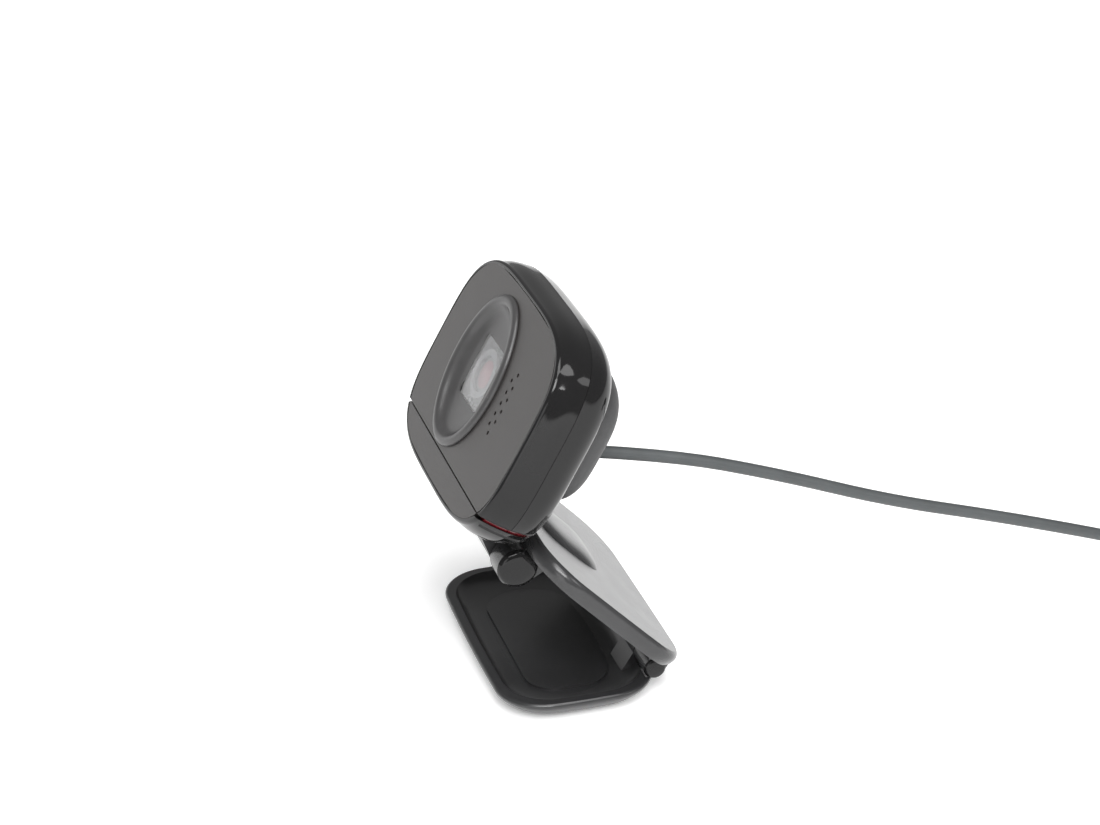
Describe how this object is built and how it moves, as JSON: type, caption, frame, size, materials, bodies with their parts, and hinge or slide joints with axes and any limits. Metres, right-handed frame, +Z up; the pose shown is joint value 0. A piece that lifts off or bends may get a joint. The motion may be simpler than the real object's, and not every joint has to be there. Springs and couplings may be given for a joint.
{
  "type": "clip-on webcam",
  "caption": "USB webcam with a swivelling, tilting head on a two-plate folding clip stand that stands on a table or hooks on a screen, with its cord and plug",
  "frame": {"origin": "point on the flat underside of the lower plate's rubber foot, under the middle of the stand", "axes": "+Z up, -Y the side the camera faces, +X to the right of the lens as the lens is offset to -X"},
  "size_m": [0.0819, 0.2536, 0.0907],
  "materials": {
    "gloss_black": "piano-black moulded plastic",
    "satin_black": "fine-grained satin face plate",
    "shell_grey": "matte dark grey moulded cover",
    "stand_black": "semi-gloss moulded stand",
    "bezel_grey": "satin dark grey ring",
    "red_accent": "glossy red trim",
    "clear_window": "clear polished window",
    "lens_glass": "coated lens glass",
    "steel": "turned and stamped steel",
    "nickel": "nickel-plated connector shell",
    "circuit": "solder-masked board",
    "black_part": "moulded inner part",
    "white_plastic": "moulded light plastic",
    "rubber": "soft grip rubber",
    "cord_grey": "matte grey cable jacket",
    "tie_black": "soft tie strap"
  },
  "bodies": {
    "lower_plate": {"lower_plate": "stand_black", "inner_pad": "rubber", "rubber_foot": "rubber", "leg_hinge_pin": "steel", "leg_friction_spring": "steel"},
    "upper_plate": {"upper_plate": "stand_black", "upper_pad": "rubber", "spine_cover": "stand_black", "spine_screws": "steel", "tilt_pin": "steel", "tilt_washers": "steel"},
    "neck": {"neck_block": "stand_black", "tilt_bushes": "white_plastic", "chin_shell": "gloss_black", "chin_face_strip": "satin_black", "accent_ring": "red_accent", "swivel_post": "black_part", "swivel_spring_washer": "steel", "swivel_screw": "steel", "chin_screws": "steel"},
    "head": {"face_panel": "satin_black", "front_housing": "gloss_black", "rear_housing": "gloss_black", "back_shell": "shell_grey", "swivel_plate": "steel", "lens_bezel": "bezel_grey", "lens_window": "clear_window", "lens_hood": "black_part", "lens_barrel": "black_part", "lens_front_element": "lens_glass", "lens_rear_element": "lens_glass", "lens_holder": "black_part", "ir_filter": "lens_glass", "image_sensor": "black_part", "main_board": "circuit", "processor_chip": "black_part", "microphone": "nickel", "microphone_gasket": "rubber", "status_led": "white_plastic", "led_light_pipe": "clear_window", "cord_header": "white_plastic", "board_screw": "steel", "housing_screws": "steel", "strain_relief": "cord_grey", "usb_cable": "cord_grey", "cord_coil": "cord_grey", "cord_tie": "tie_black", "cord_tail": "cord_grey", "usb_plug_body": "cord_grey", "usb_plug_shell": "nickel", "usb_plug_tongue": "white_plastic"}
  },
  "joints": [
    {"name": "leg_fold", "type": "hinge", "parent": "lower_plate", "child": "upper_plate", "pos_m": [0, 0.019, 0.0069], "axis": [1, 0, 0], "range_deg": [-60, 28]},
    {"name": "head_tilt", "type": "hinge", "parent": "upper_plate", "child": "neck", "pos_m": [0, -0.0112, 0.0338], "axis": [1, 0, 0], "range_deg": [-10, 60]},
    {"name": "head_swivel", "type": "hinge", "parent": "neck", "child": "head", "pos_m": [0, -0.01586, 0.05013], "axis": [0, 0.4848, 0.8746], "range_deg": [-180, 180]}
  ]
}
